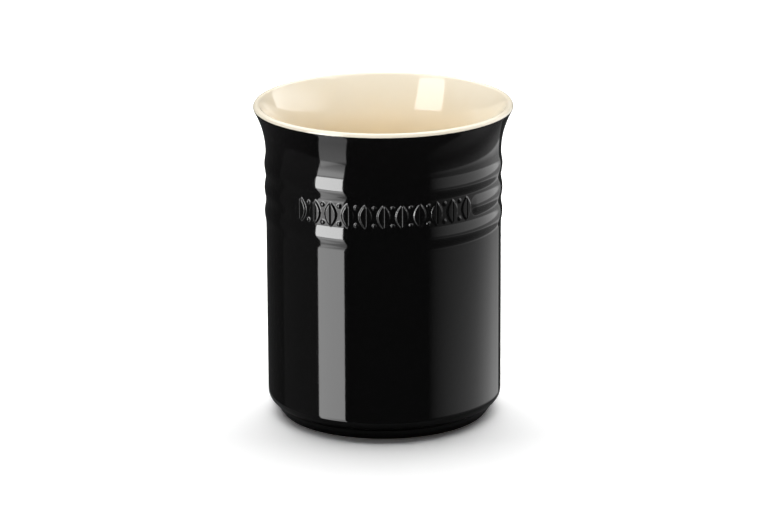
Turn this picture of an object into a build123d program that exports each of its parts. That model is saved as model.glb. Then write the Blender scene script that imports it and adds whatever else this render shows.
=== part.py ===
from build123d import *
import math
import os

# Utensil crock: one fired stoneware pot under three coats of glaze. A dark coat covers the outside,
# a cream coat covers the inside and turns over the lip, and a dark coat covers the hollow base.
# Millimetres, +Z up. The origin is on the table, under the middle of the foot. The front faces -Y.

# The pot, measured over its glaze
height = 154.0
wall_radius = 56.8
wall_thickness = 5.4
glaze_thickness = 0.5

# The flared mouth and its round lip
flare_height = 24.0
inner_flare_height = 25.7
flare_reach = 5.7
lip_radius = 1.7

# The raised rings under the mouth, from the top down, and the plain place in the middle one
ring_width = 9.4
ring_relief = 0.66
ring_spacing = 2.35
ring_drop = 1.1
plain_place_angle = 102.0

# The rounded lower corner, and the foot that stands in from it
foot_height = 5.4
foot_inset = 5.2
corner_height = 5.5
bevel_width = 2.0
bevel_height = 2.4
bare_foot_height = 0.4

# The hollow base inside the ring that the pot stands on
foot_ring_width = 4.2
hollow_depth = 2.5
hollow_draft = 0.9
clearance = 0.3

# The floor inside
floor_level = 8.0
floor_corner_radius = 5.0

# Tight rounds are trimmed in this many flats, fewer on the clay, where the glaze covers them
glaze_flat_count = 4
clay_flat_count = 2

# Cuts and pieces that are trimmed away run past by this much, and ends closer than this touch
overrun = 1.0
touching = 0.001

# Worked out: the lip's round edge
rim_radius = wall_radius + flare_reach
lip_centre = rim_radius - lip_radius
lip_level = height - lip_radius

# Worked out: the arc of the flare outside touches the wall and the lip's round edge
flare_start = height - flare_height
flare_rise = lip_level - flare_start
flare_lean = lip_centre - wall_radius
flare_radius = (flare_lean**2 + flare_rise**2 - lip_radius**2) / (2 * (flare_lean + lip_radius))
flare_angle = math.asin(flare_rise / (flare_radius + lip_radius))

# Worked out: the arc of the flare inside does the same, from the other side of the wall
inner_radius = wall_radius - wall_thickness
inner_flare_start = height - inner_flare_height
inner_rise = lip_level - inner_flare_start
inner_lean = lip_centre - inner_radius
inner_flare_radius = (inner_lean**2 + inner_rise**2 - lip_radius**2) / (2 * (inner_lean - lip_radius))
inner_flare_angle = math.asin(inner_rise / (inner_flare_radius - lip_radius))

# Worked out: each ring is a slice of a round bead, sunk in the wall
bead_radius = (ring_width**2 / 4 + ring_relief**2) / (2 * ring_relief)
bead_centre = wall_radius + ring_relief - bead_radius
top_ring_level = flare_start - ring_drop - ring_width / 2
middle_ring_level = top_ring_level - ring_width - ring_spacing
bottom_ring_level = middle_ring_level - ring_width - ring_spacing

# Worked out: the lower corner touches the wall and meets the foot
foot_radius = wall_radius - foot_inset
corner_level = foot_height + corner_height
corner_radius = (foot_inset**2 + corner_height**2) / (2 * foot_inset)
bevel_stretch = math.hypot(bevel_width, bevel_height) / bevel_height


def at(radius, level):
    """A point of the section, which is drawn in the plane of X and Z."""
    return Vector(radius, 0, level)


def round_point(centre, level, radius, angle):
    """A point of a round stretch, at an angle in radians from the outward direction."""
    return at(centre + radius * math.cos(angle), level + radius * math.sin(angle))


def arc(centre, level, radius, first, last):
    """A round stretch of the section, between two angles."""
    return ThreePointArc(*[round_point(centre, level, radius, a) for a in (first, (first + last) / 2, last)])


def trimmed(centre, level, radius, inset, first, last):
    """A round stretch as the corners of flats that touch it. The lines on to its neighbours touch it too."""
    flats = clay_flat_count if inset else glaze_flat_count
    step = (last - first) / flats
    out = radius / math.cos(step / 2)
    return [round_point(centre, level, out, first + step * (count + 1 / 2)) for count in range(flats)]


def swept(centre, level, radius, inset, first, last):
    """A long gentle stretch: one smooth curve in the glaze, and flats in the clay."""
    if inset:
        return trimmed(centre, level, radius, inset, first, last)
    corner = round_point(centre, level, radius / math.cos((last - first) / 2), (first + last) / 2)
    return [Bezier(round_point(centre, level, radius, first), corner, round_point(centre, level, radius, last))]


def joined(stretches):
    """Fill the straight gaps between the stretches, in order and round to the first."""
    edges = []
    for stretch, following in zip(stretches, stretches[1:] + stretches[:1]):
        if isinstance(stretch, Edge):
            edges.append(stretch)
        start = stretch @ 1 if isinstance(stretch, Edge) else stretch
        end = following @ 0 if isinstance(following, Edge) else following
        if (end - start).length > touching:
            edges.append(Line(start, end))
    return Face(Wire(edges))


def turned(stretches):
    """Turn a closed section about the middle of the pot."""
    return revolve(joined(stretches), Axis.Z, 360)


def bevel_radius(level, inset):
    """The slanted lower edge of the foot, on the glaze or under it."""
    return foot_radius - bevel_width + bevel_width * level / bevel_height - inset * bevel_stretch


def foot_side(inset):
    """From the top of the bevel, up the foot and round the lower corner to the wall."""
    bevel_top = bevel_height * (1 + inset * (bevel_stretch - 1) / bevel_width)
    meet = math.acos((corner_radius - foot_inset - inset) / (corner_radius - inset))
    turn = (wall_radius - corner_radius, corner_level, corner_radius - inset)
    return [at(foot_radius - inset, bevel_top), round_point(*turn, -meet)] + trimmed(*turn, inset, -meet, 0)


def ring_outline(level, inset, sunk):
    """A ring: a round bead in the glaze and a plain ridge in the clay, with both ends sunk in the wall."""
    half_angle = math.acos((bead_radius - ring_relief - inset) / (bead_radius - inset))
    if inset == 0:
        half_angle = math.acos((bead_radius - ring_relief - sunk) / bead_radius)
        return [arc(bead_centre, level, bead_radius, -half_angle, half_angle)]
    half_width = (bead_radius - inset) * math.sin(half_angle) * (1 + sunk / ring_relief)
    start, end = [at(wall_radius - inset - sunk, level + side * half_width) for side in (-1, 1)]
    return [start, at(wall_radius + ring_relief - inset, level), end]


def mouth_outside(inset):
    """Up the flare, and on to the widest line of the lip, where the dark glaze ends."""
    centre = wall_radius + flare_radius
    flare = swept(centre, flare_start, flare_radius + inset, inset, math.pi, math.pi - flare_angle)
    lip = (lip_centre, lip_level, lip_radius - inset)
    edge = round_point(*lip[:2], lip[2] / math.cos(flare_angle / 2), -flare_angle / 2)
    return flare + [edge, round_point(*lip, 0)]


def outside(inset):
    """The whole outside above the bevel, apart from the middle ring."""
    rings = ring_outline(bottom_ring_level, inset, 0) + ring_outline(top_ring_level, inset, 0)
    return foot_side(inset) + rings + mouth_outside(inset)


def inside(inset):
    """From the widest line of the lip, over it and down the inside to the middle of the floor."""
    over = math.pi - inner_flare_angle
    lip = (lip_centre, lip_level, lip_radius - inset)
    flare = (inner_radius + inner_flare_radius, inner_flare_start, inner_flare_radius - inset)
    turn = (inner_radius - floor_corner_radius, floor_level + floor_corner_radius, floor_corner_radius + inset)
    return (
        [round_point(*lip, 0)]
        + trimmed(*lip, inset, 0, over)
        + swept(*flare, inset, over, math.pi)
        + trimmed(*turn, inset, 0, -math.pi / 2)
        + [at(0, floor_level - inset)]
    )


def middle_ring(inset):
    """The middle ring, which stops at each side of the plain place in a round end."""
    half_place = plain_place_angle / 2
    face = joined(ring_outline(middle_ring_level, inset, overrun))
    ring = revolve(face, Axis.Z, 360 - plain_place_angle).rotate(Axis.Z, half_place - 90)
    half_face = split(face, bisect_by=Plane.XY.offset(middle_ring_level))
    axis = Axis(at(0, middle_ring_level), (1, 0, 0))
    right_end = revolve(half_face, axis, 180).rotate(Axis.Z, half_place - 90)
    left_end = revolve(half_face, axis, -180).rotate(Axis.Z, -half_place - 90)
    return ring + [right_end, left_end]


def stoneware_body():
    """The fired clay: wall, rings, lip, floor, and the bare ring that it stands on."""
    ring_outer = bevel_radius(0, glaze_thickness)
    hollow_radius = ring_outer - foot_ring_width
    base = [at(0, hollow_depth), at(hollow_radius - hollow_draft, hollow_depth)]
    stand = [at(hollow_radius, 0), at(ring_outer, 0)]
    pot = turned(base + stand + outside(glaze_thickness) + inside(glaze_thickness))
    return pot + middle_ring(glaze_thickness)


def outer_glaze():
    """The dark coat, from just over the table up to the widest line of the lip."""
    low = at(bevel_radius(bare_foot_height, 0), bare_foot_height)
    coat = turned([at(0, bare_foot_height), low] + outside(0) + [at(0, lip_level)])
    sunk = -overrun
    under = at(bevel_radius(sunk, glaze_thickness), sunk)
    above = lip_level + overrun
    core = turned(
        [at(0, sunk), under]
        + outside(glaze_thickness)
        + [at(rim_radius - glaze_thickness, above), at(0, above)]
    )
    return (coat + middle_ring(0)) - (core + middle_ring(glaze_thickness))


def inner_glaze():
    """The cream coat, over the lip, down the wall and across the floor."""
    clay_side = inside(glaze_thickness)
    back = [stretch.reversed() if isinstance(stretch, Edge) else stretch for stretch in reversed(clay_side)]
    return turned(inside(0) + back)


def base_glaze():
    """The coat in the hollow of the base, clear of the bare ring."""
    hollow_radius = bevel_radius(0, glaze_thickness) - foot_ring_width - hollow_draft
    edge = hollow_radius - clearance
    low = hollow_depth - glaze_thickness
    return turned([at(0, low), at(edge, low), at(edge, hollow_depth), at(0, hollow_depth)])


parts = {
    "stoneware_body": stoneware_body,
    "outer_glaze": outer_glaze,
    "inner_glaze": inner_glaze,
    "base_glaze": base_glaze,
}

os.makedirs("parts", exist_ok=True)
for name, make in parts.items():
    part = make()
    part.label = name
    export_step(part, f"parts/{name}.step")
    print(name, round(part.volume), "cubic mm")
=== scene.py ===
# %% [markdown]
# # A glazed stoneware crock
# The crock is a thrown and turned stoneware pot for standing kitchen tools in. It has a black glaze
# outside and a cream glaze inside, and the two meet on the widest line of its flared lip. This lesson
# builds it in Blender around a measured model: first the shapes, then the finishes, then the light.

# %% Load the measured pot
import math
import bmesh
import bpy
from mathutils import Matrix, Vector


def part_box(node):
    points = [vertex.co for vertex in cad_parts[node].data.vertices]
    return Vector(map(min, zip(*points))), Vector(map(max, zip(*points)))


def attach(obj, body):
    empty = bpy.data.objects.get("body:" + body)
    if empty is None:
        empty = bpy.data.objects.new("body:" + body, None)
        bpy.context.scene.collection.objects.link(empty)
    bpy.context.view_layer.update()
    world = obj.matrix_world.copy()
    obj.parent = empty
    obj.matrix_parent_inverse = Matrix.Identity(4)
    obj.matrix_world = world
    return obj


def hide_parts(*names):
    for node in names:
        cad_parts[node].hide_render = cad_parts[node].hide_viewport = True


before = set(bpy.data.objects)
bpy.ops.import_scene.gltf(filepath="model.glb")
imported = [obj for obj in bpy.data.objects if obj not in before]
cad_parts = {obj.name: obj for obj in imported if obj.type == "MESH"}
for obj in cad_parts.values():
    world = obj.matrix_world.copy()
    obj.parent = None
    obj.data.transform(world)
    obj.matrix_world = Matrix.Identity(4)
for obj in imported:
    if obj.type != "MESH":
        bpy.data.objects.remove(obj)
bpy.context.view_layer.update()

# %% [markdown]
# ## Sizes
# A pot is described best by the few sizes that a potter would measure. They are kept in one place, in
# metres, and everything that follows is worked out from them. The overall reach comes from the
# measured model, so that the looks and the model can't drift apart.

# %% Sizes of the pot
mm = 0.001
rim_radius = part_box("inner_glaze")[1].x
height = 154.0 * mm
wall_radius = 56.8 * mm
wall_thickness = 5.4 * mm
glaze_thickness = 0.5 * mm
flare_height = 24.0 * mm
inner_flare_height = 25.7 * mm
lip_radius = 1.7 * mm
foot_height = 5.4 * mm
foot_inset = 5.2 * mm
corner_height = 5.5 * mm
bevel_width = 2.0 * mm
bevel_height = 2.4 * mm
bare_foot_height = 0.4 * mm
foot_ring_width = 4.2 * mm
hollow_depth = 2.5 * mm
hollow_draft = 0.9 * mm
clearance = 0.3 * mm
floor_level = 8.0 * mm
floor_corner_radius = 5.0 * mm
edge_softness = 0.5 * mm
flat_margin = 0.6 * mm

lip_centre = rim_radius - lip_radius
lip_level = height - lip_radius
inner_radius = wall_radius - wall_thickness
foot_radius = wall_radius - foot_inset
print("rim radius in mm:", round(1000 * rim_radius, 2))

# %% [markdown]
# ## The rings and the frieze
# Three raised rings run round the pot under the mouth. They are soft waves, not sharp ridges, because
# the glaze fills their edges. The middle ring stops on both sides of a plain place in front, which
# holds a pressed frieze of plain upright leaves with small pellets between them.

# %% Sizes of the rings and the frieze
ring_pitch = 11.75 * mm
ring_relief = 0.66 * mm
middle_ring_level = 112.45 * mm
plain_place_angle = math.radians(102.0)
leaf_count = 11
leaf_pitch = 8.6 * mm
leaf_height = 12.4 * mm
leaf_width = 6.6 * mm
leaf_edge = 0.8 * mm
midrib_width = 0.9 * mm
frieze_relief = 0.7 * mm
pellet_radius = 1.15 * mm
pellet_rise = 4.3 * mm
frieze_margin = 1.0 * mm
print("frieze length in mm:", round(1000 * leaf_count * leaf_pitch, 1))

# %% [markdown]
# ## Drawing the section
# A turned pot is a section that goes once round an axis. It could be drawn as a curve by hand, but a
# potter's sizes give it exactly: each stretch of the section is a line or an arc that touches its
# neighbours, and a list of points stands for it. Points are close where the shape bends and wide apart
# where it is straight, so that the mesh stays light. One more point stands just inside each end of a
# long straight stretch, so that the smooth shading of the bend doesn't creep along it. The same section
# is drawn twice: once on the skin of the glaze, and once on the clay under it, inset by the thickness
# of the coat.


# %% Lines and arcs of a section
def straight(start, end, step):
    """Points from start to just before end."""
    count = max(1, round(math.dist(start, end) / step))
    shares = [index / count for index in range(count)]
    return [(start[0] + (end[0] - start[0]) * s, start[1] + (end[1] - start[1]) * s) for s in shares]


def on_round(centre, radius, angle):
    """The point of a round at an angle from the outward direction."""
    return (centre[0] + radius * math.cos(angle), centre[1] + radius * math.sin(angle))


def round_stretch(centre, radius, first, last, turn):
    """Points of an arc from one angle to another, with the given turn between them."""
    count = max(1, round(abs(last - first) / turn))
    return [on_round(centre, radius, first + (last - first) * index / count) for index in range(count + 1)]


# %% The places where the stretches meet
fine_turn = math.radians(9.0)
coarse_turn = 2 * fine_turn
gentle_turn = math.radians(1.8)
floor_step = 6.0 * mm
bevel_turn = math.atan2(bevel_width, bevel_height)
bevel_stretch = 1 / math.cos(bevel_turn)

flare_start = height - flare_height
flare_lean = lip_centre - wall_radius
flare_rise = lip_level - flare_start
flare_radius = (flare_lean**2 + flare_rise**2 - lip_radius**2) / (2 * (flare_lean + lip_radius))
flare_angle = math.asin(flare_rise / (flare_radius + lip_radius))

inner_flare_start = height - inner_flare_height
inner_lean = lip_centre - inner_radius
inner_rise = lip_level - inner_flare_start
inner_flare_radius = (inner_lean**2 + inner_rise**2 - lip_radius**2) / (2 * (inner_lean - lip_radius))
inner_flare_angle = math.asin(inner_rise / (inner_flare_radius - lip_radius))

corner_level = foot_height + corner_height
corner_radius = (foot_inset**2 + corner_height**2) / (2 * foot_inset)
# The glaze line lies this far round the lip from its widest line
line_angle = math.radians(-1.0)
flare_angles = [round(math.degrees(angle), 1) for angle in (flare_angle, inner_flare_angle)]
print("flare angles outside and inside, in degrees:", flare_angles)


# %% The outside, from the foot to the glaze line on the lip
def bevel_radius(level, inset):
    """The slanted lower edge of the foot."""
    return foot_radius - bevel_width + bevel_width * level / bevel_height - inset * bevel_stretch


bevel_softness = 3 * edge_softness
nook_softness = 2 * edge_softness


def foot_stretch(inset):
    """Round the top of the bevel, up the foot, and through a small fillet to the lower corner."""
    soft = bevel_softness - inset
    fillet = nook_softness + inset
    bend = (foot_radius - inset - soft, bevel_height + bevel_softness * math.tan(bevel_turn / 2))
    corner = (wall_radius - corner_radius, corner_level)
    across = foot_radius - inset + fillet - corner[0]
    drop = math.sqrt((corner_radius - inset + fillet) ** 2 - across**2)
    nook = (foot_radius - inset + fillet, corner_level - drop)
    meet = math.atan2(drop, -across)
    return (
        round_stretch(bend, soft, -bevel_turn, 0, fine_turn)
        + round_stretch(nook, fillet, math.pi, meet, fine_turn)
        + round_stretch(corner, corner_radius - inset, meet - math.pi, 0, fine_turn)
        + [(wall_radius - inset, corner_level + flat_margin)]
    )


frieze_row = 0.28 * mm
ring_row = 0.70 * mm


def ring_stretch():
    """The straight wall where the rings and the frieze are raised, with points close together."""
    frieze_low = middle_ring_level - leaf_height / 2 - frieze_margin
    frieze_high = middle_ring_level + leaf_height / 2 + frieze_margin
    rings_low = middle_ring_level - 1.5 * ring_pitch
    rings_high = middle_ring_level + 1.5 * ring_pitch
    return (
        straight((wall_radius, rings_low), (wall_radius, frieze_low), ring_row)
        + straight((wall_radius, frieze_low), (wall_radius, frieze_high), frieze_row)
        + straight((wall_radius, frieze_high), (wall_radius, rings_high), ring_row)
    )


def mouth_stretch(inset, last):
    """Up the flare and round the lip, to an angle of its round edge."""
    flare_centre = (wall_radius + flare_radius, flare_start)
    flare = round_stretch(flare_centre, flare_radius + inset, math.pi, math.pi - flare_angle, gentle_turn)
    lip = round_stretch((lip_centre, lip_level), lip_radius - inset, -flare_angle, last, fine_turn)
    return flare + lip[1:]


# %% The inside, from the glaze line over the lip to the middle of the floor
def inside_stretch(inset, first):
    """Over the lip, down the flare and the wall, round the corner and across the floor."""
    over = math.pi - inner_flare_angle
    lip = round_stretch((lip_centre, lip_level), lip_radius - inset, first, over, fine_turn)
    flare_centre = (inner_radius + inner_flare_radius, inner_flare_start)
    flare = round_stretch(flare_centre, inner_flare_radius - inset, over, math.pi, gentle_turn)
    corner_centre = (inner_radius - floor_corner_radius, floor_level + floor_corner_radius)
    corner = round_stretch(corner_centre, floor_corner_radius + inset, 0, -math.pi / 2, fine_turn)
    floor = straight(corner[-1], (0, floor_level - inset), floor_step)
    wall_ends = (inner_flare_start - flat_margin, corner[0][1] + flat_margin)
    wall = [(inner_radius + inset, level) for level in wall_ends]
    return lip + flare[1:] + wall + corner + floor[1:] + [(0, floor_level - inset)]


# %% [markdown]
# ## Turning on the wheel
# A Geometry Nodes tree does what the wheel does. A Screw modifier could turn the section too, but all its
# steps are alike, and here the columns are closer in front, where the frieze needs them. The object's
# own mesh is only the section, a chain of points. The tree makes a grid with one row for each of those
# points and one column for each step round, and puts every point of the grid at its section point,
# turned about the axis. Merging by distance closes the seam and the middle.


# %% Helpers that fill in a node tree
def node(tree, kind, inputs=None, **options):
    """Add a node, set its options, and fill its inputs with values or with other nodes' outputs."""
    made = tree.nodes.new(kind)
    for name, value in options.items():
        setattr(made, name, value)
    for socket, value in (inputs or {}).items():
        if isinstance(value, bpy.types.NodeSocket):
            tree.links.new(value, made.inputs[socket])
        else:
            made.inputs[socket].default_value = value
    return made


def calc(tree, operation, *values):
    """One sum in a node tree."""
    return node(tree, "ShaderNodeMath", dict(enumerate(values)), operation=operation).outputs[0]


def ramp(tree, value, low, high, to_low=0.0, to_high=1.0, kind="LINEAR"):
    """Carry a value from one range to another, and hold it at the ends."""
    inputs = {"Value": value, "From Min": low, "From Max": high, "To Min": to_low, "To Max": to_high}
    return node(tree, "ShaderNodeMapRange", inputs, interpolation_type=kind).outputs[0]


def new_tree(name, sockets):
    """A geometry tree with one geometry in and out, and named inputs."""
    tree = bpy.data.node_groups.new(name, "GeometryNodeTree")
    tree.interface.new_socket("Geometry", in_out="INPUT", socket_type="NodeSocketGeometry")
    tree.interface.new_socket("Geometry", in_out="OUTPUT", socket_type="NodeSocketGeometry")
    for title, kind in sockets:
        tree.interface.new_socket(title, in_out="INPUT", socket_type=kind)
    return tree, node(tree, "NodeGroupInput").outputs


def end_tree(tree, geometry, material):
    """Every tree ends the same way."""
    real = node(tree, "GeometryNodeRealizeInstances", {0: geometry})
    coated = node(tree, "GeometryNodeSetMaterial", {"Geometry": real.outputs[0], "Material": material})
    node(tree, "NodeGroupOutput", {0: coated.outputs[0]})


# %% The wheel
touching = 0.01 * mm


def wheel_tree():
    """Turn the chain of points that comes in about the upright axis."""
    tree, given = new_tree("turned_on_the_wheel", [
        ("Front Columns", "NodeSocketInt"),
        ("Other Columns", "NodeSocketInt"),
        ("Front Angle", "NodeSocketFloat"),
        ("Material", "NodeSocketMaterial"),
    ])
    front, other, front_angle = given["Front Columns"], given["Other Columns"], given["Front Angle"]
    rows = node(tree, "GeometryNodeAttributeDomainSize", {0: given["Geometry"]}).outputs["Point Count"]
    columns = calc(tree, "ADD", front, other)
    size = {"Vertices X": calc(tree, "ADD", columns, 1.0), "Vertices Y": rows}
    grid = node(tree, "GeometryNodeMeshGrid", size).outputs["Mesh"]

    index = node(tree, "GeometryNodeInputIndex").outputs[0]
    column = calc(tree, "FLOOR", calc(tree, "DIVIDE", index, rows))
    row = calc(tree, "SUBTRACT", index, calc(tree, "MULTIPLY", column, rows))
    place = node(tree, "GeometryNodeInputPosition").outputs[0]
    sample = node(tree, "GeometryNodeSampleIndex", {"Geometry": given["Geometry"], "Index": row},
                  data_type="FLOAT_VECTOR")
    tree.links.new(place, sample.inputs["Value"])
    point = node(tree, "ShaderNodeSeparateXYZ", {0: sample.outputs[0]}).outputs

    half = calc(tree, "MULTIPLY", front_angle, 0.5)
    in_front = ramp(tree, column, 0.0, front, calc(tree, "MULTIPLY", half, -1.0), half)
    rest = calc(tree, "SUBTRACT", 2 * math.pi, front_angle)
    angle = calc(tree, "ADD", in_front, ramp(tree, column, front, columns, 0.0, rest))
    x = calc(tree, "MULTIPLY", point["X"], calc(tree, "SINE", angle))
    y = calc(tree, "MULTIPLY", point["X"], calc(tree, "MULTIPLY", calc(tree, "COSINE", angle), -1.0))
    turned = node(tree, "ShaderNodeCombineXYZ", {0: x, 1: y, 2: point["Z"]})
    pot = node(tree, "GeometryNodeSetPosition", {"Geometry": grid, "Position": turned.outputs[0]})
    closed = node(tree, "GeometryNodeMergeByDistance", {"Geometry": pot.outputs[0], "Distance": touching})
    smooth = node(tree, "GeometryNodeSetShadeSmooth", {"Geometry": closed.outputs[0]})
    end_tree(tree, smooth.outputs[0], given["Material"])
    return tree


# %% [markdown]
# ## Raising the rings and the frieze
# On the real pot the rings are turned and the frieze is pressed into the soft clay. They could be
# separate pieces laid on the wall, or only a bump in the material, but then they would cross the glaze
# or vanish at the outline. So the second tree pushes the skin of the pot itself outwards. It works out
# one height for each point from where the point is: how far it lies above or below each ring, and where
# it lies in a leaf or a pellet. A smooth step along the edge of each leaf gives it the soft shoulder
# that glaze leaves.


# %% Heights on the wall
midrib_share = 0.45
pellet_top_share = 0.8
between_numbers = 0.25


def wave(tree, distance, half_width):
    """A soft wave that is 1 at no distance and 0 from the half width on."""
    share = calc(tree, "MINIMUM", calc(tree, "DIVIDE", distance, half_width), 1.0)
    swing = calc(tree, "COSINE", calc(tree, "MULTIPLY", share, math.pi))
    return calc(tree, "MULTIPLY_ADD", swing, 0.5, 0.5)


def distance_of(tree, a, b):
    """The length of the sloping side over two others."""
    return calc(tree, "SQRT", calc(tree, "ADD", calc(tree, "MULTIPLY", a, a), calc(tree, "MULTIPLY", b, b)))


def ring_heights(tree, given, round_by, up):
    """Two whole rings, and the middle one with its round ends."""
    half_pitch = calc(tree, "MULTIPLY", given["Ring Pitch"], 0.5)
    side = calc(tree, "ABSOLUTE", up)
    outer = wave(tree, calc(tree, "ABSOLUTE", calc(tree, "SUBTRACT", side, given["Ring Pitch"])), half_pitch)
    short_by = calc(tree, "SUBTRACT", given["Plain Half Length"], calc(tree, "ABSOLUTE", round_by))
    past_end = calc(tree, "MAXIMUM", short_by, 0.0)
    middle = wave(tree, distance_of(tree, past_end, up), half_pitch)
    return calc(tree, "MULTIPLY", calc(tree, "MAXIMUM", outer, middle), given["Ring Relief"])


def leaf_heights(tree, given, round_by, up):
    """Upright leaves with a groove down the middle, side by side along the plain place."""
    pitch = given["Leaf Pitch"]
    number = calc(tree, "ROUND", calc(tree, "DIVIDE", round_by, pitch))
    across = calc(tree, "ABSOLUTE", calc(tree, "SUBTRACT", round_by, calc(tree, "MULTIPLY", number, pitch)))
    rise = calc(tree, "DIVIDE", up, calc(tree, "MULTIPLY", given["Leaf Height"], 0.5))
    bulge = calc(tree, "SUBTRACT", 1.0, calc(tree, "MULTIPLY", rise, rise))
    half_width = calc(tree, "MULTIPLY", calc(tree, "MULTIPLY", given["Leaf Width"], 0.5), bulge)
    inward = calc(tree, "SUBTRACT", half_width, across)
    leaf = ramp(tree, inward, 0.0, given["Leaf Edge"], kind="SMOOTHSTEP")
    half_rib = calc(tree, "MULTIPLY", given["Midrib Width"], 0.5)
    rib = ramp(tree, across, 0.0, half_rib, midrib_share, 1.0, kind="SMOOTHSTEP")
    last = calc(tree, "MULTIPLY", calc(tree, "SUBTRACT", given["Leaf Count"], 1.0), 0.5)
    there = calc(tree, "LESS_THAN", calc(tree, "ABSOLUTE", number), calc(tree, "ADD", last, between_numbers))
    return calc(tree, "MULTIPLY", calc(tree, "MULTIPLY", leaf, rib), there)


def pellet_heights(tree, given, round_by, up):
    """Small round pellets between the tips of the leaves, above and below."""
    pitch = given["Leaf Pitch"]
    gap = calc(tree, "FLOOR", calc(tree, "DIVIDE", round_by, pitch))
    middle = calc(tree, "MULTIPLY", calc(tree, "ADD", gap, 0.5), pitch)
    across = calc(tree, "SUBTRACT", round_by, middle)
    above = calc(tree, "SUBTRACT", calc(tree, "ABSOLUTE", up), given["Pellet Rise"])
    share = calc(tree, "DIVIDE", distance_of(tree, across, above), given["Pellet Radius"])
    dome = calc(tree, "SUBTRACT", 1.0, calc(tree, "MINIMUM", calc(tree, "MULTIPLY", share, share), 1.0))
    last = calc(tree, "MULTIPLY", calc(tree, "SUBTRACT", given["Leaf Count"], 1.0), 0.5)
    end = calc(tree, "MULTIPLY", last, pitch)
    there = calc(tree, "LESS_THAN", calc(tree, "ABSOLUTE", middle), end)
    return calc(tree, "MULTIPLY", ramp(tree, dome, 0.0, pellet_top_share, kind="SMOOTHSTEP"), there)


# %% The raising tree
def relief_tree():
    """Push the skin of the wall out by the height of the rings, the leaves and the pellets."""
    tree, given = new_tree("raised_rings_and_frieze", [
        ("Wall Radius", "NodeSocketFloat"),
        ("Middle Ring Level", "NodeSocketFloat"),
        ("Ring Pitch", "NodeSocketFloat"),
        ("Ring Relief", "NodeSocketFloat"),
        ("Plain Half Length", "NodeSocketFloat"),
        ("Leaf Count", "NodeSocketFloat"),
        ("Leaf Pitch", "NodeSocketFloat"),
        ("Leaf Height", "NodeSocketFloat"),
        ("Leaf Width", "NodeSocketFloat"),
        ("Leaf Edge", "NodeSocketFloat"),
        ("Midrib Width", "NodeSocketFloat"),
        ("Pellet Radius", "NodeSocketFloat"),
        ("Pellet Rise", "NodeSocketFloat"),
        ("Frieze Relief", "NodeSocketFloat"),
        ("Material", "NodeSocketMaterial"),
    ])
    place = node(tree, "GeometryNodeInputPosition").outputs[0]
    point = node(tree, "ShaderNodeSeparateXYZ", {0: place}).outputs
    radius = distance_of(tree, point["X"], point["Y"])
    angle = calc(tree, "ARCTAN2", point["X"], calc(tree, "MULTIPLY", point["Y"], -1.0))
    round_by = calc(tree, "MULTIPLY", angle, given["Wall Radius"])
    up = calc(tree, "SUBTRACT", point["Z"], given["Middle Ring Level"])

    rings = ring_heights(tree, given, round_by, up)
    leaves = leaf_heights(tree, given, round_by, up)
    pellets = pellet_heights(tree, given, round_by, up)
    frieze = calc(tree, "MULTIPLY", calc(tree, "MAXIMUM", leaves, pellets), given["Frieze Relief"])
    height_here = calc(tree, "MAXIMUM", rings, frieze)

    off_wall = calc(tree, "ABSOLUTE", calc(tree, "SUBTRACT", radius, given["Wall Radius"]))
    skin = calc(tree, "LESS_THAN", off_wall, touching)
    reach = calc(tree, "MULTIPLY", given["Ring Pitch"], 1.5)
    near = calc(tree, "LESS_THAN", calc(tree, "ABSOLUTE", up), reach)
    kept = calc(tree, "MULTIPLY", height_here, calc(tree, "MULTIPLY", skin, near))
    out = calc(tree, "DIVIDE", kept, radius)
    push = node(tree, "ShaderNodeCombineXYZ", {
        0: calc(tree, "MULTIPLY", point["X"], out), 1: calc(tree, "MULTIPLY", point["Y"], out), 2: 0.0})
    moves = {"Geometry": given["Geometry"], "Offset": push.outputs[0]}
    raised = node(tree, "GeometryNodeSetPosition", moves)
    end_tree(tree, raised.outputs[0], given["Material"])
    return tree


# %% [markdown]
# ## From a section to a finished piece
# Each piece starts as its chain of points, goes through the trees, and is then turned into a plain
# mesh, because a plain mesh goes wherever the pot goes and needs no tree. Its normals are made to point
# outwards, and edges sharper than a glaze would leave are marked, so that they shade crisply.


# %% Make a piece
crisp_angle = math.radians(50.0)


def set_inputs(modifier, values):
    """Give a geometry modifier its inputs, by the identifiers of their sockets."""
    for item in modifier.node_group.interface.items_tree:
        if item.in_out == "INPUT" and item.name in values:
            modifier[item.identifier] = values[item.name]


def turned_piece(name, section, trees):
    """Turn a section, raise what it carries, and keep the result as a plain closed mesh."""
    chain = bpy.data.meshes.new(name + "_section")
    points = [(radius, 0.0, level) for radius, level in section]
    chain.from_pydata(points, [(i, i + 1) for i in range(len(points) - 1)], [])
    piece = bpy.data.objects.new(name, chain)
    bpy.context.scene.collection.objects.link(piece)
    for tree, values in trees:
        modifier = piece.modifiers.new(tree.name, "NODES")
        modifier.node_group = tree
        set_inputs(modifier, values)
    bpy.context.view_layer.update()
    made = bpy.data.meshes.new_from_object(piece.evaluated_get(bpy.context.evaluated_depsgraph_get()))
    piece.modifiers.clear()
    piece.data = made
    made.name = name
    bpy.data.meshes.remove(chain)

    shell = bmesh.new()
    shell.from_mesh(made)
    bmesh.ops.delete(shell, geom=[edge for edge in shell.edges if edge.is_wire], context="EDGES")
    bmesh.ops.recalc_face_normals(shell, faces=shell.faces)
    shell.to_mesh(made)
    open_edges = sum(not edge.is_manifold for edge in shell.edges)
    shell.free()
    made.set_sharp_from_angle(angle=crisp_angle)
    made.calc_loop_triangles()
    print(name, "triangles:", len(made.loop_triangles), "open edges:", open_edges, "rows:", len(points))
    return piece


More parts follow.
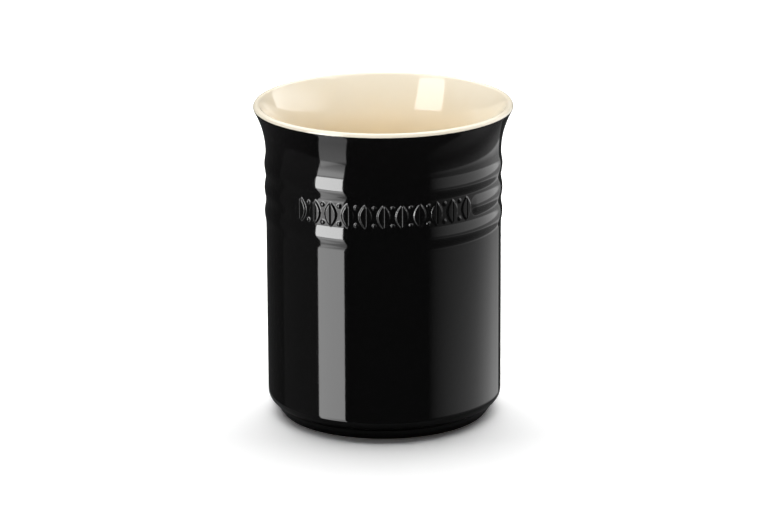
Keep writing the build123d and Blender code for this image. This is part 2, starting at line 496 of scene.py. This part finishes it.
# %% [markdown]
# ## Black glaze and cream glaze
# The outside coat is an opaque black gloss. It looks black because it hides the clay, and it looks
# like glaze because its skin is not quite level: it has a faint slow swell from the dip and the
# firing, a finer peel on top, and a few pinholes. The gloss itself comes from the shader, with a low
# roughness that drifts a little from place to place. The cream coat inside is made the same way. It is
# paler where it runs thin. Both coats turn deeper lower down in the pot, the cream one also warmer,
# which is painted shade: it stands for the inside shading itself and warming its own light.


# %% Patterns for the finishes
def noise(tree, place, scale, detail):
    """Soft clouds, which get finer as the scale grows."""
    return node(tree, "ShaderNodeTexNoise", {"Vector": place, "Scale": scale, "Detail": detail}).outputs[0]


def spots(tree, place, scale):
    """How far each place lies from the middle of the nearest spot."""
    return node(tree, "ShaderNodeTexVoronoi", {"Vector": place, "Scale": scale}).outputs["Distance"]


# %% A glaze shader
drift_scale, swell_scale, peel_scale, pinhole_scale = 38.0, 120.0, 900.0, 150.0
pinhole_depth = 0.02 * mm
# Between these two levels the colour turns to the painted shade colour: painted shade lower in the pot.
painted_shade_from = 150.0 * mm
painted_shade_below = 100.0 * mm


def glaze(name, colour, thin_colour, painted_shade_colour, thin_share, roughness, swell, peel):
    """A smooth glassy coat, with a drift of colour and gloss, an uneven skin, and painted shade lower down.
    """
    material = bpy.data.materials.new(name)
    material.use_nodes = True
    tree = material.node_tree
    shader = tree.nodes["Principled BSDF"]
    place = node(tree, "ShaderNodeTexCoord").outputs["Object"]
    drift = noise(tree, place, drift_scale, 3.0)
    slow = noise(tree, place, swell_scale, 1.0)
    fine = noise(tree, place, peel_scale, 2.0)
    pinhole = ramp(tree, spots(tree, place, pinhole_scale), 0.02, 0.055, kind="SMOOTHSTEP")

    thinness = ramp(tree, drift, 0.35, 0.75, 0.0, thin_share)
    colours = node(tree, "ShaderNodeMix", {0: thinness}, data_type="RGBA")
    colours.inputs[6].default_value = (*colour, 1.0)
    colours.inputs[7].default_value = (*thin_colour, 1.0)
    # Painted shade: lower down the colour turns deeper and warmer, standing for shade and warm bounce light
    # inside the pot.
    level = node(tree, "ShaderNodeSeparateXYZ", {0: place}).outputs["Z"]
    painted_shade_share = ramp(tree, level, painted_shade_from, painted_shade_below, kind="SMOOTHSTEP")
    shaded_colour_mix = node(tree, "ShaderNodeMix", {0: painted_shade_share}, data_type="RGBA")
    tree.links.new(colours.outputs[2], shaded_colour_mix.inputs[6])
    shaded_colour_mix.inputs[7].default_value = (*painted_shade_colour, 1.0)
    tree.links.new(shaded_colour_mix.outputs[2], shader.inputs["Base Color"])
    gloss = ramp(tree, drift, 0.3, 0.7, roughness * 0.8, roughness * 1.3)
    tree.links.new(gloss, shader.inputs["Roughness"])
    shader.inputs["IOR"].default_value = 1.5

    bumps = node(tree, "ShaderNodeBump", {"Height": slow, "Distance": swell, "Strength": 1.0})
    peeled = node(tree, "ShaderNodeBump", {
        "Height": fine, "Distance": peel, "Strength": 1.0, "Normal": bumps.outputs[0]})
    pitted = node(tree, "ShaderNodeBump", {
        "Height": pinhole, "Distance": pinhole_depth, "Strength": 0.6, "Normal": peeled.outputs[0]})
    tree.links.new(pitted.outputs[0], shader.inputs["Normal"])
    return material


# The third colour of each coat is its painted shade lower down in the pot.
black_glaze = glaze(
    "black_glaze", (0.0013, 0.0013, 0.0014), (0.0028, 0.0025, 0.0025), (0.0012, 0.0012, 0.0013), 0.6, 0.05,
    0.008 * mm, 0.0006 * mm)
cream_glaze = glaze(
    "cream_glaze", (0.88, 0.80, 0.645), (0.90, 0.84, 0.71), (0.85, 0.705, 0.46), 0.7, 0.07,
    0.006 * mm, 0.0006 * mm)

# %% [markdown]
# ## Bare clay
# Only the ring that the pot stands on is left bare, because glaze would stick to the kiln shelf. The
# clay there is buff, matt and sandy, with dark specks. Its colour comes from a slow cloud between two
# buffs, and its grain from one fine noise that drives both the roughness and the bump.


# %% The clay
cloud_scale, grain_scale, speck_scale = 60.0, 2200.0, 900.0
grain_depth = 0.08 * mm


def bare_clay():
    """Fired stoneware clay: buff, speckled and rough."""
    material = bpy.data.materials.new("bare_clay")
    material.use_nodes = True
    tree = material.node_tree
    shader = tree.nodes["Principled BSDF"]
    place = node(tree, "ShaderNodeTexCoord").outputs["Object"]
    cloud = noise(tree, place, cloud_scale, 4.0)
    grain = noise(tree, place, grain_scale, 3.0)
    specks = spots(tree, place, speck_scale)
    clay = node(tree, "ShaderNodeMix", {0: ramp(tree, cloud, 0.3, 0.7)}, data_type="RGBA")
    clay.inputs[6].default_value = (0.52, 0.39, 0.25, 1.0)
    clay.inputs[7].default_value = (0.62, 0.49, 0.34, 1.0)
    speckled = node(tree, "ShaderNodeMix", {0: ramp(tree, specks, 0.10, 0.22, 0.7, 0.0)}, data_type="RGBA")
    tree.links.new(clay.outputs[2], speckled.inputs[6])
    speckled.inputs[7].default_value = (0.16, 0.10, 0.06, 1.0)
    tree.links.new(speckled.outputs[2], shader.inputs["Base Color"])
    tree.links.new(ramp(tree, grain, 0.3, 0.7, 0.75, 0.95), shader.inputs["Roughness"])
    bump = node(tree, "ShaderNodeBump", {"Height": grain, "Distance": grain_depth, "Strength": 0.8})
    tree.links.new(bump.outputs[0], shader.inputs["Normal"])
    return material


clay = bare_clay()

# %% [markdown]
# ## The four pieces
# The pot is clay under three coats of glaze, and each coat could be only a colour on the clay. Here each
# is a thin closed shell of its own, as thick as a real coat, so that its edge stands proud of the bare
# ring with a round lower edge, and a cut through the pot shows its layers. The black outer coat comes
# first, because it carries the rings and the frieze.

# %% The trees, and the black coat
wheel = wheel_tree()
raising = relief_tree()
frieze_angle = plain_place_angle + math.radians(6.0)
even_columns = {"Front Columns": 90, "Other Columns": 270, "Front Angle": math.pi / 2}
close_columns = {"Front Columns": 400, "Other Columns": 140, "Front Angle": frieze_angle}


def outer_glaze_section():
    """Up the skin of the coat, and down its back."""
    low = bare_foot_height + glaze_thickness / 2
    edge_centre = (bevel_radius(low, glaze_thickness / 2), low)
    edge = round_stretch(edge_centre, glaze_thickness / 2, -math.pi - bevel_turn, -bevel_turn, coarse_turn)
    front = foot_stretch(0) + ring_stretch() + mouth_stretch(0, line_angle)
    back = foot_stretch(glaze_thickness) + mouth_stretch(glaze_thickness, line_angle)
    loop = edge + front + back[::-1]
    return loop + loop[:1]


relief_sizes = {
    "Wall Radius": wall_radius,
    "Middle Ring Level": middle_ring_level,
    "Ring Pitch": ring_pitch,
    "Ring Relief": ring_relief,
    "Plain Half Length": plain_place_angle / 2 * wall_radius,
    "Leaf Count": float(leaf_count),
    "Leaf Pitch": leaf_pitch,
    "Leaf Height": leaf_height,
    "Leaf Width": leaf_width,
    "Leaf Edge": leaf_edge,
    "Midrib Width": midrib_width,
    "Pellet Radius": pellet_radius,
    "Pellet Rise": pellet_rise,
    "Frieze Relief": frieze_relief,
    "Material": black_glaze,
}
outer_coat = turned_piece("black_outer_coat", outer_glaze_section(), [
    (wheel, {**close_columns, "Material": black_glaze}), (raising, relief_sizes)])


# %% The cream coat
def inner_glaze_section():
    """Over the lip and down the inside, and back up against the clay."""
    front = inside_stretch(0, line_angle)
    loop = front + inside_stretch(glaze_thickness, line_angle)[::-1]
    return loop + loop[:1]


inner_coat = turned_piece("cream_inner_coat", inner_glaze_section(), [
    (wheel, {**even_columns, "Material": cream_glaze})])


# %% The clay body
def clay_section():
    """The foot ring, then up the outside under the glaze, and down the inside."""
    ring_outer = bevel_radius(0, glaze_thickness)
    hollow_radius = ring_outer - foot_ring_width
    soft = edge_softness
    slope = math.atan2(hollow_draft, hollow_depth)
    base = straight((0, hollow_depth), (hollow_radius - hollow_draft, hollow_depth), floor_step)
    inner_edge = round_stretch((hollow_radius + soft, soft), soft, math.pi + slope, 1.5 * math.pi, fine_turn)
    outer_edge = round_stretch((ring_outer - soft, soft), soft, -math.pi / 2, -bevel_turn, fine_turn)
    rise = [(hollow_radius - hollow_draft, hollow_depth)]
    outside = foot_stretch(glaze_thickness) + mouth_stretch(glaze_thickness, 0)
    return base + rise + inner_edge + outer_edge + outside + inside_stretch(glaze_thickness, 0)[1:]


clay_body = turned_piece("clay_body", clay_section(), [(wheel, {**even_columns, "Material": clay})])


# %% The coat under the base
def base_glaze_section():
    """A thin disc in the hollow of the base, with a round edge."""
    edge = bevel_radius(0, glaze_thickness) - foot_ring_width - hollow_draft - clearance
    soft = glaze_thickness / 2
    middle = hollow_depth - soft
    rim = round_stretch((edge - soft, middle), soft, -math.pi / 2, math.pi / 2, coarse_turn)
    below = straight((0, hollow_depth - glaze_thickness), rim[0], floor_step)
    return below + rim + [(0, hollow_depth)]


base_coat = turned_piece("black_base_coat", base_glaze_section(), [
    (wheel, {**even_columns, "Material": black_glaze})])

# %% [markdown]
# ## In the place of the measured pieces
# Each shell stands for one measured solid and hides it. They all ride on the one rigid body.

# %% Tie the pieces to the measured pot
for piece, cad_node, slot in (
    (clay_body, "stoneware_body", "stoneware"),
    (outer_coat, "outer_glaze", "dark_glaze"),
    (inner_coat, "inner_glaze", "cream_glaze"),
    (base_coat, "base_glaze", "dark_glaze"),
):
    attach(piece, "root")
    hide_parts(cad_node)

# %% [markdown]
# ## Camera
# The camera stands nearly two metres off with a long lens, and looks down at sixteen degrees, so that
# the walls look almost parallel and the mouth shows as a flat oval. It leans by a quarter of a degree.

# %% The camera
camera_side = -0.65 * mm
camera_distance = 1.8638
camera_height = 0.6221
camera_pitch = 0.2843
camera_roll = -0.005
picture_width = 765
lens_in_pixels = 4002.0

camera = bpy.data.objects.new("camera", bpy.data.cameras.new("camera"))
camera.data.lens = lens_in_pixels / picture_width * camera.data.sensor_width
camera.matrix_world = (
    Matrix.Translation((camera_side, -camera_distance, camera_height))
    @ Matrix.Rotation(math.pi / 2 - camera_pitch, 4, "X")
    @ Matrix.Rotation(camera_roll, 4, "Z")
)
bpy.context.scene.collection.objects.link(camera)
bpy.context.scene.camera = camera
print("lens in mm:", round(camera.data.lens, 1))

# %% [markdown]
# ## Floor
# The pot stands on a plain white sheet. The camera sees the sheet in a brighter white than the light
# does, so that the background is white, the soft shadow stays, and the sheet doesn't throw too much
# light back. Mirrors don't see the sheet, because the photographed glaze mirrors dark surroundings.


# %% The floor
sheet_reach = 6.0
white_for_light = 0.94
white_for_camera = 1.42


def white_floor():
    """A large white sheet."""
    mesh = bpy.data.meshes.new("floor")
    corners = [(sheet_reach * x, sheet_reach * y, 0) for x, y in ((-1, -1), (1, -1), (1, 1), (-1, 1))]
    mesh.from_pydata(corners, [], [(0, 1, 2, 3)])
    material = bpy.data.materials.new("white_sheet")
    material.use_nodes = True
    shader = material.node_tree.nodes["Principled BSDF"]
    seen = node(material.node_tree, "ShaderNodeLightPath").outputs["Is Camera Ray"]
    white = ramp(material.node_tree, seen, 0.0, 1.0, white_for_light, white_for_camera)
    material.node_tree.links.new(white, shader.inputs["Base Color"])
    shader.inputs["Roughness"].default_value = 1.0
    shader.inputs["Specular IOR Level"].default_value = 0.0
    mesh.materials.append(material)
    floor = bpy.data.objects.new("floor", mesh)
    bpy.context.scene.collection.objects.link(floor)
    floor.visible_glossy = False


white_floor()

# %% [markdown]
# ## What the foot mirrors
# The foot stands close to its own shadow and mirrors little else. A dark round disc of painted shade
# lies there, standing for the shaded sheet round the foot, and only mirrors see it.


# %% The painted shade that the foot mirrors
shade_disc_radius = 72.0 * mm
shade_disc_level = 0.05 * mm
shade_disc_points = 72
# The grey of the disc is painted shade: the shadowed sheet next to the foot, as the foot mirrors it.
painted_shade_grey = 0.2


def painted_shade_disc():
    """A dark round disc on the sheet, just past the foot, which only mirrors see: painted shade for the
    shadow there.
    """
    mesh = bpy.data.meshes.new("painted_shade_disc")
    turns = [2 * math.pi * step / shade_disc_points for step in range(shade_disc_points)]
    rim = [on_round((0, 0), shade_disc_radius, turn) + (shade_disc_level,) for turn in turns]
    mesh.from_pydata(rim, [], [list(range(shade_disc_points))])
    material = bpy.data.materials.new("painted_shade_material")
    material.use_nodes = True
    shader = material.node_tree.nodes["Principled BSDF"]
    # Painted shade: a dark grey that stands for the sheet's shadow round the foot.
    shader.inputs["Base Color"].default_value = (painted_shade_grey, painted_shade_grey, painted_shade_grey, 1.0)
    shader.inputs["Roughness"].default_value = 1.0
    shader.inputs["Specular IOR Level"].default_value = 0.0
    mesh.materials.append(material)
    shade_disc = bpy.data.objects.new("painted_shade_disc", mesh)
    bpy.context.scene.collection.objects.link(shade_disc)
    shade_disc.visible_camera = shade_disc.visible_diffuse = shade_disc.visible_shadow = False


painted_shade_disc()

# %% [markdown]
# ## Light
# A glossy black pot is lit by what it mirrors, and the sheet and the cream inside are lit by what falls
# on them, so the two kinds of light are set apart. Gloss boxes are only mirrored. A tall narrow one in
# front on the left draws the long upright strip, a nearer one over it lights the upper flanks of the
# rings, and one that leans under it carries the strip up the flare, because the flare faces downwards.
# A broad board on the right gives the slow fade there, and is shaded by how steeply below the pot it is
# seen. Matt lights are never mirrored. The one on the ceiling stands a little behind the pot, so that
# the shadow falls forward, and the two fills in front reach the pot alone. Each box is given the
# brightness that a mirror would show of it, from one of its edges to the other, so that it can be as
# uneven as a real one.


# %% A helper for soft boxes
def round_the_pot(azimuth, elevation, distance):
    """A place seen from the pot, by its angle from the camera's side towards +X and above the table."""
    a, e = math.radians(azimuth), math.radians(elevation)
    return Vector((distance * math.sin(a) * math.cos(e), -distance * math.cos(a) * math.cos(e),
                   distance * math.sin(e)))


def shade_ramp(tree, share, shades):
    """A brightness for every share of a side, from a list of shares and brightnesses."""
    most = max(shade for place, shade in shades)
    ramp_node = node(tree, "ShaderNodeValToRGB", {0: share})
    elements = ramp_node.color_ramp.elements
    for place, shade in shades:
        element = elements[0] if place == 0 else elements[-1] if place == 1 else elements.new(place)
        element.color = (shade / most, shade / most, shade / most, 1.0)
    return ramp_node.outputs[0], most


def even(brightness):
    """The same brightness all over a box."""
    return ((0.0, brightness), (1.0, brightness))


even_sides = even(1.0)


def soft_box(
    name, place, facing, upward, size, up_shades, side_shades=even_sides, seen_in="gloss", rise=None
):
    """A soft box with its brightness from its lower to its upper edge, and across from side to side.

    Where rise is given, the first list goes by what it works out for each spot instead.
    """
    lamp = bpy.data.lights.new(name, "AREA")
    lamp.shape = "RECTANGLE"
    lamp.size, lamp.size_y = size
    lamp.use_nodes = True
    tree = lamp.node_tree
    parametric = node(tree, "ShaderNodeNewGeometry").outputs["Parametric"]
    spot = node(tree, "ShaderNodeSeparateXYZ", {0: parametric})
    up_share, up_most = shade_ramp(tree, rise(tree, spot) if rise else spot.outputs["Y"], up_shades)
    side_share, side_most = shade_ramp(tree, spot.outputs["X"], side_shades)
    tree.links.new(calc(tree, "MULTIPLY", up_share, side_share), tree.nodes["Emission"].inputs["Strength"])
    lamp.energy = up_most * side_most * math.pi * size[0] * size[1]

    back = -Vector(facing).normalized()
    up = (Vector(upward) - back * back.dot(Vector(upward))).normalized()
    box = bpy.data.objects.new(name, lamp)
    box.matrix_world = Matrix.Translation(place) @ Matrix((up.cross(back), up, back)).transposed().to_4x4()
    box.visible_camera = False
    box.visible_diffuse = seen_in != "gloss"
    box.visible_glossy = seen_in != "matt"
    bpy.context.scene.collection.objects.link(box)
    print(name, "brightest:", round(up_most * side_most, 2))
    return box


# %% The boxes overhead, and the fills in front
up_axis = Vector((0.0, 0.0, 1.0))
back_axis = Vector((0.0, 1.0, 0.0))
overhead_place = Vector((0.0, 0.5, 2.0))
soft_box("overhead_box", overhead_place, -overhead_place, back_axis, (3.6, 3.2), even(2.6))
ceiling_place = Vector((0.0, 1.25, 2.0))
soft_box("ceiling_light", ceiling_place, -up_axis, back_axis, (4.0, 3.0), even(2.75), seen_in="matt")

fill_elevation, fill_distance, fill_size = 26.0, 2.2, (1.2, 0.9)
lit_by_the_fills = bpy.data.collections.new("lit_by_the_fills")
for piece in (clay_body, outer_coat, inner_coat, base_coat):
    lit_by_the_fills.objects.link(piece)
for name, azimuth, brightness in (("left_fill", -33.0, 6.1), ("right_fill", 50.0, 3.1)):
    fill_place = round_the_pot(azimuth, fill_elevation, fill_distance)
    fill = soft_box(name, fill_place, -fill_place, up_axis, fill_size, even(brightness), seen_in="matt")
    fill.light_linking.receiver_collection = lit_by_the_fills


# %% The strip on the left
def shares_of(low, high, shades):
    """Turn shades at places between low and high into shades at shares from 0 to 1."""
    return [((place - low) / (high - low), shade) for place, shade in shades]


strip_side = round_the_pot(-53.1, 0.0, 3.0)
strip_width = 1.51
strip_low, strip_high = -1.80, 0.62
strip_shades = (
    (-1.80, 1.6), (-1.30, 3.0), (-1.02, 5.1), (-0.76, 5.2), (-0.73, 3.0), (-0.65, 3.2), (-0.61, 14.0),
    (0.62, 14.0))
soft_box(
    "left_strip", strip_side + up_axis * (strip_low + strip_high) / 2, -strip_side, up_axis,
    (strip_width, strip_high - strip_low), shares_of(strip_low, strip_high, strip_shades))

# %% The box over the strip, the one under it, and the glow beside it
high_side = round_the_pot(-52.0, 0.0, 1.5)
high_level, high_shift, high_lean = 1.14, 0.07, 0.2
across = up_axis.cross(-high_side.normalized())
soft_box(
    "left_strip_high", high_side + across * high_shift + up_axis * high_level, -high_side,
    up_axis + across * high_lean, (0.84, 1.62), even(6.5))

under_side = round_the_pot(-51.0, -23.0, 1.0)
under_lean = Vector((0.092, 0.472, -0.877))
under_shift = 0.665
soft_box(
    "left_strip_under", under_side + under_lean * under_shift, -under_side, -under_lean, (0.45, 1.37),
    ((0.0, 1.05), (0.6, 1.2), (0.85, 1.7), (0.95, 1.9), (1.0, 0.6)))

glow_side = round_the_pot(-82.0, 0.0, 3.2)
soft_box(
    "left_glow", glow_side, -glow_side, up_axis, (4.4, 4.0), even(0.075),
    ((0.0, 0.5), (0.6, 1.0), (1.0, 0.3)))

# %% The box and the board on the right
right_axis = Vector((1.0, 0.0, 0.0))
right_place = Vector((1.0, 0.15, 0.62))
soft_box(
    "right_box", right_place, -right_axis, up_axis, (1.7, 0.78), ((0.0, 3.0), (0.4, 2.7), (1.0, 0.0)),
    ((0.0, 0.0), (0.35, 1.0), (1.0, 1.0)))

board_side = 2.6
board_low, board_high, board_front, board_back = -3.0, 0.6, -2.7, 5.6
steepest, shallowest = -0.8, 0.1
board_up = (
    (-0.8, 0.2), (-0.6, 0.1), (-0.5, 0.15), (-0.35, 0.4), (-0.33, 1.4), (-0.27, 0.75), (-0.17, 0.85),
    (-0.13, 2.2), (0.1, 2.2))
board_along = ((-2.7, 0.0), (0.0, 0.53), (1.3, 0.82), (2.4, 0.82), (4.0, 0.57), (5.6, 0.5))


def board_rise(tree, spot):
    """How steeply below the pot a point of the board lies, from 0 for the steepest on to 1."""
    along = ramp(tree, spot.outputs["X"], 0.0, 1.0, board_front, board_back)
    level = ramp(tree, spot.outputs["Y"], 0.0, 1.0, board_low, board_high)
    slope = calc(tree, "DIVIDE", level, distance_of(tree, along, board_side))
    return ramp(tree, slope, steepest, shallowest)


board_place = Vector((board_side, (board_front + board_back) / 2, (board_low + board_high) / 2))
soft_box(
    "right_board", board_place, -right_axis, up_axis, (board_back - board_front, board_high - board_low),
    shares_of(steepest, shallowest, board_up), shares_of(board_front, board_back, board_along),
    rise=board_rise)

# %% [markdown]
# ## Room
# A dim even room fills the gaps between the boxes, and mirrors see it darker than the matt surfaces do.

# %% The room
room_light = 0.09
room_in_mirrors = 0.045
world = bpy.data.worlds.new("dim_room")
bpy.context.scene.world = world
world.use_nodes = True
world.node_tree.nodes["Background"].inputs["Color"].default_value = (1.0, 1.0, 1.0, 1.0)
mirrored = node(world.node_tree, "ShaderNodeLightPath").outputs["Is Glossy Ray"]
dim = ramp(world.node_tree, mirrored, 0.0, 1.0, room_light, room_in_mirrors)
world.node_tree.links.new(dim, world.node_tree.nodes["Background"].inputs["Strength"])
bpy.context.scene.view_settings.view_transform = "Standard"
